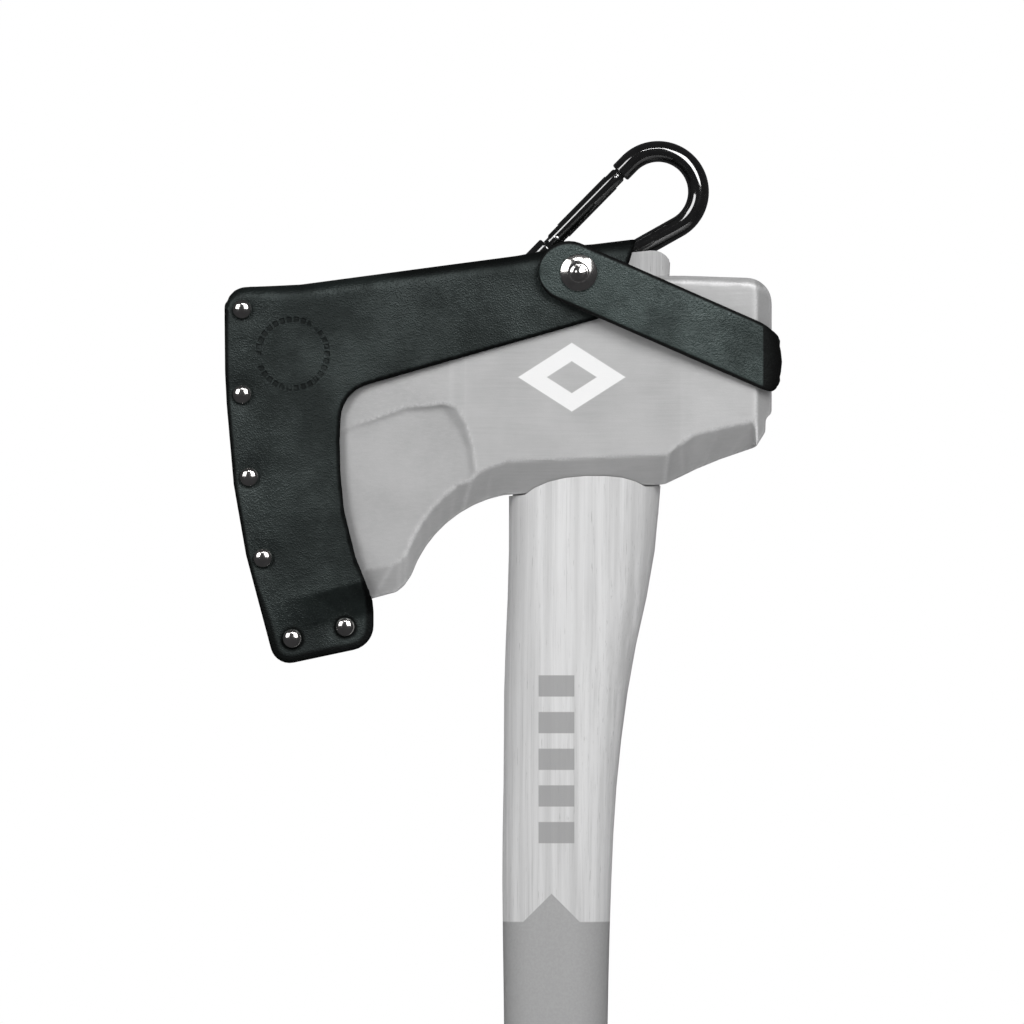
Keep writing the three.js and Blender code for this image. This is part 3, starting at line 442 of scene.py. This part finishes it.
tidied("haft", "haft_wood", "axe")
tidied("wood_wedge", "wedge_wood", "axe")
tidied("steel_wedge_front", "wedge_steel", "axe")
tidied("steel_wedge_rear", "wedge_steel", "axe")

# ---------------------------------------------------------------- sheath

RIVETS = [(-113.2, 678), (-113.2, 647.4), (-110.7, 617.6), (-105.7, 588.4), (-95.2, 559.4), (-76.1, 563.6)]
SNAP = (8.0, 691.0)


def near_edges(co, edges, width):
    """1 at a cut edge, falling to 0 at the given distance from it, one distance for each point."""
    tree = KDTree(int(edges.sum()))
    for index in np.nonzero(edges)[0]:
        tree.insert(co[index], int(index))
    tree.balance()
    reach = np.array([tree.find(p)[2] for p in co])
    return np.clip(1 - reach / width, 0, 1)


def sheath():
    mesh = remade("sheath_leather", 0.75, 3, "sheath_body")
    co, normals = points_of(mesh)
    outer = np.sign(co[:, 1]) * normals[:, 1] > 0.3
    fold_line = np.interp(co[:, 0], [-112, 29], [686, 703]) - 9
    edges = (np.abs(normals[:, 1]) < 0.55) & (co[:, 2] < fold_line)
    edges |= (np.abs(normals[:, 0]) > 0.75) & (co[:, 0] > 24)
    # Dark rims on the cut edges below the fold: partly the dyed edge, partly painted shade on these lower
    # edges, widened to 5 mm towards the bottom.
    rim = near_edges(co, edges, np.interp(co[:, 2], [566, 580], [5.0, 2.6]))
    # Painted shade: the leather over the top fold is darkened, growing from x = -85 to x = -55 and staying
    # on towards the snap.
    painted_fold_shade = np.clip((co[:, 2] - fold_line - 1) / 5, 0, 1) * np.interp(co[:, 0], [-85, -55], [0, 0.5])
    rim = np.maximum(rim, painted_fold_shade)
    dent = np.zeros(len(co))
    for x, z in RIVETS:
        away = np.hypot(co[:, 0] - x, co[:, 2] - z)
        dent += 0.7 * np.exp(-((away / 5.5) ** 2))
    dent[~outer] = 0
    co[:, 1] -= np.sign(co[:, 1]) * dent
    set_points(mesh, co)
    set_rim(mesh, rim)
    return shown("sheath_body", mesh, "sheath_leather", "axe", ["sheath_leather"])


sheath()
for welt in ("welt_front", "welt_bottom"):
    tidied(welt, "welt_leather", "axe")

# ---------------------------------------------------------------- rivets and snap

FACE = 2.2 + 2.6 + 0.45                              # a rivet cap's seat on the welted edge
PANEL_IN = 20.4                                      # inner face of the panels at the eye
STUD = PANEL_IN + 2.6 + 0.3
STRAP_NEAR = STUD + 3                                # inner face of the strap at the snap
STRAP_FAR = STUD
THICK = 2.6
SKIRT = 1.0                                          # how far a rivet cap is sunk into the leather


def cap(radius, height, seat, side):
    """Profile of a domed rivet cap from its rolled rim to its crown."""
    lip = 0.42
    profile = [(radius - 0.35, seat), (radius - 0.08, seat + side * 0.08)]
    profile.append((radius, seat + side * lip * 0.55))
    for k in range(15):
        angle = math.pi / 2 * k / 14
        rise = lip + (height - lip) * math.sin(angle)
        profile.append(((radius - 0.05) * math.cos(angle), seat + side * rise))
    return profile


def turned(name, profile, place, slot_name, body, node):
    points, faces = lathe(profile)
    moved = [(x + place[0], y, z + place[1]) for x, y, z in points]
    return shown(name, mesh_of(name, moved, faces), slot_name, body, [node])


for i, place in enumerate(RIVETS, 1):
    tip = FACE + 0.8
    post = [(0, tip), (1.4, tip), (1.4, SKIRT - FACE), (3.1, SKIRT - FACE)]
    turned(f"rivet_{i}_cap", post + cap(3.5, 2.1, -FACE, -1), place, "chrome", "axe", f"rivet_{i}")
    barrel = [(0, tip + 0.3), (1.7, tip + 0.3), (1.7, tip + 0.4), (3.1, FACE - 0.05)]
    back_profile = barrel + cap(3.5, 2.1, FACE, 1)
    turned(f"rivet_back_{i}_cap", back_profile, place, "chrome", "axe", f"rivet_back_{i}")

turned("snap_post_body", [
    (0, -STUD - 0.7), (1.6, -STUD - 0.7), (1.6, -PANEL_IN - 0.8), (4.2, -PANEL_IN - 0.8),
    (4.2, -PANEL_IN - 0.1), (0, -PANEL_IN - 0.1),
], SNAP, "chrome", "axe", "snap_post")
turned("snap_stud_body", [
    (0, -STUD - 1.1), (1.95, -STUD - 1.1), (1.95, -STUD), (5.4, -STUD), (5.5, -STUD - 0.15),
    (5.4, -STUD - 0.5), (2.7, -STUD - 0.62), (2.4, -STUD - 0.9), (2.7, -STUD - 1.6), (2.2, -STUD - 2),
    (0, -STUD - 2.05),
], SNAP, "chrome", "axe", "snap_stud")
turned("snap_socket_body", [
    (1.7, -STUD - 2.3), (3.7, -STUD - 2.3), (3.9, -STUD - 2.1), (3.9, -STUD - 0.95), (5.5, -STUD - 0.9),
    (5.6, -STUD - 1.1), (5.6, -STRAP_NEAR + 0.3), (5.4, -STRAP_NEAR + 0.25), (1.7, -STRAP_NEAR + 0.25),
    (1.7, -STUD - 2.3),
], SNAP, "chrome", "strap_end", "snap_socket")


def snap_cap():
    """A shallow polished dome with a rolled rim, a pressed ring and a small raised centre."""
    seat = -STRAP_NEAR - THICK - 0.3
    profile = [(0, -STUD - 2.35), (1.35, -STUD - 2.35), (1.35, seat), (6.3, seat), (6.6, seat - 0.1)]
    profile += [(6.7, seat - 0.35), (6.62, seat - 0.6)]
    steps = 26
    for k in range(steps + 1):
        radius = 6.5 * math.cos(math.pi / 2 * k / steps)
        height = 0.7 + 1.5 * (1 - (radius / 6.5) ** 2)
        height -= 0.22 * math.exp(-(((radius - 3.1) / 0.42) ** 2))
        height += 0.2 * math.exp(-((radius / 1.1) ** 4))
        profile.append((radius, seat - height))
    profile[-1] = (0, profile[-1][1])
    turned("snap_cap_body", profile, SNAP, "chrome", "strap_end", "snap_cap")


snap_cap()
STRAP_RIVET = (17.0, 687.0)
seat = STRAP_FAR + THICK + 0.3
turned("strap_rivet_cap", [(0, PANEL_IN + 1), (1.4, PANEL_IN + 1), (1.4, seat)] + cap(3.5, 1.3, seat, 1),
       STRAP_RIVET, "chrome", "axe", "strap_rivet")
hang_low, hang_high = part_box("hang_rivet")
LOOP_RIVET = ((hang_low.x + hang_high.x) / 2 / MM, (hang_low.z + hang_high.z) / 2 / MM)
loop_face = STRAP_FAR + 4 + 0.7
hang_post = [(0, PANEL_IN + 1), (1.4, PANEL_IN + 1), (1.4, loop_face)]
turned("hang_rivet_cap", hang_post + cap(2.9, 1.5, loop_face, 1), LOOP_RIVET, "chrome", "axe",
       "hang_rivet")
disc = [
    (0, PANEL_IN + 0.1), (2.9, PANEL_IN + 0.1), (3, PANEL_IN + 0.25), (3, PANEL_IN + 0.55),
    (2.85, PANEL_IN + 0.7), (0, PANEL_IN + 0.7),
]
for node, place in (("strap_rivet_back", STRAP_RIVET), ("hang_rivet_back", LOOP_RIVET)):
    turned(node + "_disc", disc, place, "chrome", "axe", node)

# ---------------------------------------------------------------- strap

CORNER = (73.2, 14.3, 6.3)                           # centre and radius of the bend round the poll
BEND_START = 98                                      # degrees from +X at which the bend begins
BEND_X = 72                                          # where the bend begins along the strap
SLOPE = 0.437
HALF = 11.0                                          # half the strap's width
POLL_X = 77.5
DIP = 4.2                                            # how far the upper edge drops round the corner
LIFT = 3.2                                           # how far the lower edge rises round the corner


def hermite(start, start_way, end, end_way, t):
    start, start_way, end, end_way = map(np.array, (start, start_way, end, end_way))
    return (start * (1 + 2 * t) * (1 - t) ** 2 + start_way * t * (1 - t) ** 2
            + end * t * t * (3 - 2 * t) + end_way * t * t * (t - 1))


def strap_route(side, end, flat_y, flat_x):
    """Plan of one half of the strap, from its round end to the middle of the poll."""
    cx, cy, radius = CORNER
    tip = end[0] - HALF
    route = [(tip + HALF * (1 - math.cos(math.pi / 2 * k / 12)), flat_y) for k in range(12)]
    route += [(x, flat_y) for x in np.linspace(end[0], flat_x, 10, endpoint=False)]
    turn = math.radians(BEND_START)
    bend = (cx + radius * math.cos(turn), cy + radius * math.sin(turn))
    run = math.hypot(bend[0] - flat_x, bend[1] - flat_y)
    way = (run * math.sin(turn), run * math.cos(turn))
    route += [tuple(hermite((flat_x, flat_y), (run, 0), bend, way, k / 30)) for k in range(30)]
    for k in range(20):
        angle = turn * (1 - k / 20)
        route.append((cx + radius * math.cos(angle), cy + radius * math.sin(angle)))
    route += [(cx + radius, y) for y in np.linspace(cy, 0, 9)]
    return [(x, side * y) for x, y in route]


def strap_half(name, side, end, flat_y, flat_x):
    """One half of the strap as rings of a rounded band along its route."""
    route = strap_route(side, end, flat_y, flat_x)
    lean = math.atan(SLOPE)
    cross = 44
    rings, rim = [], []
    for i, (x, y) in enumerate(route):
        before, after = route[max(i - 1, 0)], route[min(i + 1, len(route) - 1)]
        along = Vector((after[0] - before[0], after[1] - before[1])).normalized()
        out = Vector((along.y, -along.x))
        centre = end[1] - SLOPE * (min(x, POLL_X) - end[0])
        reach = HALF / math.cos(lean)
        top, low = centre + reach, centre - reach
        past = abs(x - end[0])
        if x < end[0] + HALF * math.sin(lean):
            top = end[1] + math.sqrt(max(HALF ** 2 - past ** 2, 0.0))
        if x < end[0] - HALF * math.sin(lean):
            low = end[1] - math.sqrt(max(HALF ** 2 - past ** 2, 0.0))
        turned_by = math.degrees(math.atan2(abs(y) - CORNER[1], x - CORNER[0]))
        wrap = max(0.0, min(1.0, (BEND_START - turned_by) / BEND_START)) if x > BEND_X else 0.0
        top -= DIP * wrap ** 2
        low += LIFT * wrap ** 2
        middle, half = (top + low) / 2, max((top - low) / 2, 0.02)
        thin = min(1.0, math.sqrt(min(1.0, (x - route[0][0] + 0.02) / 0.8)))
        ring = []
        for k in range(cross):
            angle = 2 * math.pi * k / cross
            share = math.copysign(abs(math.sin(angle)) ** 0.42, math.sin(angle))
            depth = math.copysign(min(1.0, (1.35 * abs(math.cos(angle))) ** 0.5), math.cos(angle))
            v = share * half
            edge_gap = half - abs(v)
            soft = min(1.0, math.sqrt(min(1.0, (edge_gap + 0.02) / 0.7)))
            t = depth * THICK / 2 * min(soft, thin)
            if t > 0:
                t *= 1 - 1.2 * wrap * (v / half) ** 2
            bow = 0.4 * wrap * (1 - (v / half) ** 2)
            ring.append((x + out.x * (t + bow), y + out.y * (t + bow), middle + v))
            # rim holds the dyed cut edges along both sides, and painted shade where the strap bends round
            # the poll, past x = 73.4.
            rim.append(max(0.0, 1 - edge_gap / 2.2, min(0.7, (x - 73.4) / 1.6)))
        rings.append(ring)
    points, faces = skin(rings)
    return mesh_of(name, points, faces, 60, rim)


near = strap_half("strap_near_body", -1, (4.5, 691.4), STRAP_NEAR + THICK / 2, 24)
far = strap_half("strap_far_body", 1, (17.0, 686.4), STRAP_FAR + THICK / 2, 30)
near = shown("strap_near_body", near, "strap_leather", None, ["strap_near", "strap_back"])
far = shown("strap_far_body", far, "strap_leather", None, ["strap_far", "strap_back"])
for made, body, side in ((near, "strap_end", -1), (far, "axe", 1)):
    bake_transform(made, body, "strap_middle",
             start=(0.0735, side * 0.0208, 0.66), end=(0.0797, side * 0.0145, 0.66))

# ---------------------------------------------------------------- carabiner and its loop

loop_mesh = remade("hang_loop", 0.35, 3, "hang_loop_body")
shown("hang_loop_body", loop_mesh, "loop_leather", "axe", ["hang_loop"])

NARROW = (-3.1, 690.3, 7.5)
WIDE = (36.9, 720.9, 14.6)
PLANE_Y = 31.5
ROD = 3.8
SPAN = math.hypot(WIDE[0] - NARROW[0], WIDE[1] - NARROW[1])
LEAN = math.atan2(WIDE[1] - NARROW[1], WIDE[0] - NARROW[0])
FLARE = math.asin((WIDE[2] - NARROW[2]) / SPAN)
ALONG = np.array((math.cos(FLARE), math.sin(FLARE)))
TANGENT = NARROW[2] * np.array((-math.sin(FLARE), math.cos(FLARE)))
PIVOT = TANGENT + 12.2 * ALONG
to_loop = Matrix.Translation((NARROW[0], 0, NARROW[1])) @ Matrix.Rotation(-LEAN, 4, "Y")
to_gate = to_loop @ Matrix.Translation((PIVOT[0], PLANE_Y, PIVOT[1])) @ Matrix.Rotation(-FLARE, 4, "Y")


def rod_route():
    """Centre line of the carabiner's rod, from the gate's nose round to the gate's pivot."""
    right = math.pi / 2
    route = [PIVOT + 32.8 * ALONG]
    straight = math.sqrt(SPAN ** 2 - (WIDE[2] - NARROW[2]) ** 2)

    def line(start, end, count):
        route.extend(start + (end - start) * k / count for k in range(1, count + 1))

    def arc(x, radius, start, end, count):
        for k in range(1, count + 1):
            angle = start + (end - start) * k / count
            route.append(np.array((x + radius * math.cos(angle), radius * math.sin(angle))))

    line(route[0], TANGENT + straight * ALONG, 8)
    arc(SPAN, WIDE[2], FLARE + right, -FLARE - right, 64)
    line(route[-1], NARROW[2] * np.array((-math.sin(FLARE), -math.cos(FLARE))), 24)
    arc(0, NARROW[2], -FLARE - right, FLARE + right - 2 * math.pi, 40)
    line(route[-1], PIVOT - 4.4 * ALONG, 8)
    return route


def rod_rings():
    """Rings round the rod's centre line, eased at both of its ends."""
    route = rod_route()
    last = len(route) - 1
    eased = [(0.0, 0.86), (0.25, 0.96), (0.5, 1.0)]
    rings = []
    for i, place in enumerate(route):
        way = route[min(i + 1, last)] - route[max(i - 1, 0)]
        way = way / np.linalg.norm(way)
        across = np.array((-way[1], way[0]))
        steps = {0: eased, last: [(-shift, share) for shift, share in eased[::-1]]}.get(i, [(0.0, 1.0)])
        for shift, share in steps:
            base = place + way * shift
            wide = ROD * share
            rings.append([
                (base[0] + across[0] * wide * math.cos(t), PLANE_Y + wide * math.sin(t),
                 base[1] + across[1] * wide * math.cos(t))
                for t in np.linspace(0, 2 * math.pi, 36, endpoint=False)
            ])
    return rings


def moved_mesh(name, points, faces, matrix, angle=40):
    return mesh_of(name, [tuple(matrix @ Vector(p)) for p in points], faces, angle)


def block(low, high, matrix):
    """A closed box between two corners, moved by the matrix."""
    (x0, y0, z0), (x1, y1, z1) = low, high
    rings = [[(x, y0, z0), (x, y1, z0), (x, y1, z1), (x, y0, z1)] for x in (x0, x1)]
    points, faces = skin(rings)
    return moved_mesh("block", points, faces, matrix)


def tongue(stations):
    """A flat tongue of the rod that enters a slot of the gate, from (x, half height) stations."""
    thick = 1.0
    corners = ((-thick, -1), (thick, -1), (thick, 1), (-thick, 1))
    rings = [[(x, y, half * way) for y, way in corners] for x, half in stations]
    points, faces = skin(rings)
    return moved_mesh("tongue", points, faces, to_gate)


def with_solid(mesh, other, operation):
    """The first mesh joined with the second, or cut by it."""
    first = bpy.data.objects.new("first", mesh)
    second = bpy.data.objects.new("second", other)
    for made in (first, second):
        scene.collection.objects.link(made)
    join = first.modifiers.new("join", "BOOLEAN")
    join.operation = operation
    join.solver = "EXACT"
    join.object = second
    result = bpy.data.meshes.new_from_object(first.evaluated_get(bpy.context.evaluated_depsgraph_get()))
    result.name = mesh.name
    for made in (first, second):
        bpy.data.objects.remove(made)
    finish_mesh(result, 40)
    return result


points, faces = skin(rod_rings())
body_mesh = moved_mesh("carabiner_rod", points, faces, to_loop)
TONGUE = 2.25                                        # radius of the root tongue's round end
round_end = [math.radians(turn) for turn in range(0, 90, 12)]
root = [(-7.0, TONGUE)] + [(TONGUE * math.sin(turn), TONGUE * math.cos(turn)) for turn in round_end]
body_mesh = with_solid(body_mesh, tongue(root), "UNION")
body_mesh = with_solid(body_mesh, tongue([(28.8, 2.0), (36.0, 2.4)]), "UNION")
shown("carabiner_rod", body_mesh, "carabiner_black", "carabiner", ["carabiner_body"])


def gate_rings():
    radius = 3.1
    rings = []
    stations = [-radius * math.cos(math.pi / 2 * k / 10) for k in range(11)]
    stations += [4, 10, 16, 22, 27, 31.4, 31.8, 32.2]
    for x in stations:
        limit = math.sqrt(max(radius ** 2 - x ** 2, 0.0004)) if x < 0 else radius
        share = {31.8: 0.98, 32.2: 0.9}.get(x, 1.0)
        ring = []
        for t in np.linspace(0, 2 * math.pi, 36, endpoint=False):
            y, z = radius * share * math.sin(t), radius * share * math.cos(t)
            ring.append((x, y, max(-limit, min(limit, z))))
        rings.append(ring)
    return rings


points, faces = skin(gate_rings())
gate_mesh = moved_mesh("carabiner_gate_body", points, faces, to_gate)
for start, end in ((-8.0, 3.6), (28.0, 40.0)):
    gate_mesh = with_solid(gate_mesh, block((start, -1.3, -6.0), (end, 1.3, 6.0), to_gate), "DIFFERENCE")
shown("carabiner_gate_body", gate_mesh, "carabiner_black", "gate", ["carabiner_gate"])


def pin(name, node, radius, x, body):
    half = 3.0
    dome = [(0, half + 0.12), (radius * 0.5, half + 0.1), (radius * 0.9, half - 0.05), (radius, half - 0.3)]
    profile = [(r, -y) for r, y in dome] + dome[::-1]
    points, faces = lathe(profile, 32)
    moved = [(px + x, py, pz) for px, py, pz in points]
    shown(name, moved_mesh(name, moved, faces, to_gate), "pin_steel", body, [node])


pin("gate_pin_head", "gate_pin", 1.1, 0, "carabiner")
pin("latch_pin_head", "latch_pin", 0.8, 30.6, "gate")
tidied("gate_plunger", "pin_steel", "gate")
tidied("gate_spring", "spring_steel", "gate", 60)

# ---------------------------------------------------------------- camera, light and floor

VIEW_CENTRE = Vector((-0.016, 0.0, 0.605))           # what the picture is centred on
VIEW_WIDTH = 0.36864                                 # width of the picture at the object
DISTANCE = 8.0
camera_data = bpy.data.cameras.new("camera")
camera_data.sensor_width = 36
camera_data.lens = 36 * DISTANCE / VIEW_WIDTH
camera_data.clip_end = 60
camera = bpy.data.objects.new("camera", camera_data)
camera.location = VIEW_CENTRE - Vector((0, DISTANCE + 0.012, 0))
camera.rotation_euler = (math.pi / 2, 0, 0)
scene.collection.objects.link(camera)
scene.camera = camera
scene.view_settings.view_transform = "Standard"
scene.view_settings.look = "None"


def softbox(name, azimuth, elevation, distance, size, radiance):
    """An area light aimed at the head, with the brightness of its face given."""
    data = bpy.data.lights.new(name, "AREA")
    data.shape = "RECTANGLE"
    data.size, data.size_y = size
    data.energy = radiance * math.pi * size[0] * size[1]
    lamp = bpy.data.objects.new(name, data)
    a, e = math.radians(azimuth), math.radians(elevation)
    way = Vector((math.sin(a) * math.cos(e), -math.cos(a) * math.cos(e), math.sin(e)))
    lamp.location = Vector((-0.016, 0, 0.62)) + way * distance
    lamp.rotation_euler = way.to_track_quat("Z", "Y").to_euler()
    lamp.visible_camera = False
    scene.collection.objects.link(lamp)
    return lamp


softbox("softbox_left", -38, 21, 1.6, (0.72, 0.8), 5.1)
softbox("softbox_right", 22, 23, 1.5, (0.6, 0.8), 8.5)
softbox("strip_above", 0, 40, 1.6, (0.6, 0.05), 20.0)
softbox("fill_back", 205, 30, 2.2, (1.4, 1.4), 1.7).visible_glossy = False

world = bpy.data.worlds.new("studio")
scene.world = world
world.use_nodes = True
tree = world.node_tree
tree.nodes.clear()
place = tree.nodes.new("ShaderNodeTexCoord")
split = tree.nodes.new("ShaderNodeSeparateXYZ")
tree.links.new(place.outputs["Generated"], split.inputs[0])
rise = tree.nodes.new("ShaderNodeMapRange")
rise.interpolation_type = "SMOOTHSTEP"
rise.inputs["From Min"].default_value = -0.25
rise.inputs["From Max"].default_value = 0.35
tree.links.new(split.outputs["Z"], rise.inputs["Value"])
fill = tree.nodes.new("ShaderNodeMix")
fill.data_type = "RGBA"
fill.inputs[6].default_value = (0.045, 0.039, 0.034, 1)
fill.inputs[7].default_value = (0.27, 0.27, 0.275, 1)
tree.links.new(rise.outputs["Result"], fill.inputs[0])
rays = tree.nodes.new("ShaderNodeLightPath")
white = tree.nodes.new("ShaderNodeMix")
white.data_type = "RGBA"
white.inputs[7].default_value = (1, 1, 1, 1)
tree.links.new(rays.outputs["Is Camera Ray"], white.inputs[0])
dim = tree.nodes.new("ShaderNodeMix")                # a dark room for what the metals mirror
dim.data_type = "RGBA"
dim.inputs[7].default_value = (0.045, 0.045, 0.047, 1)
tree.links.new(rays.outputs["Is Glossy Ray"], dim.inputs[0])
tree.links.new(fill.outputs[2], dim.inputs[6])
tree.links.new(dim.outputs[2], white.inputs[6])
sky = tree.nodes.new("ShaderNodeBackground")
tree.links.new(white.outputs[2], sky.inputs["Color"])
end = tree.nodes.new("ShaderNodeOutputWorld")
tree.links.new(sky.outputs[0], end.inputs[0])


def floor():
    """A plain pale studio floor that the haft's butt stands on."""
    radius, count = 5000, 96
    turns = [2 * math.pi * k / count for k in range(count)]
    ring = [(radius * math.cos(t), radius * math.sin(t), -0.3) for t in turns]
    mesh = bpy.data.meshes.new("floor")
    mesh.from_pydata([Vector(p) * MM for p in ring], [], [tuple(range(count))])
    made = bpy.data.objects.new("floor", mesh)
    scene.collection.objects.link(made)
    look = Look("floor", Roughness=0.9)
    spot = look.add("TexCoord").outputs["Object"]
    cloud = look.noise(spot, 3.0)
    look.set("Base Color", look.mix(cloud, grey(0.86), grey(0.89)))
    mesh.materials.append(look.material)
    made.visible_glossy = False


floor()
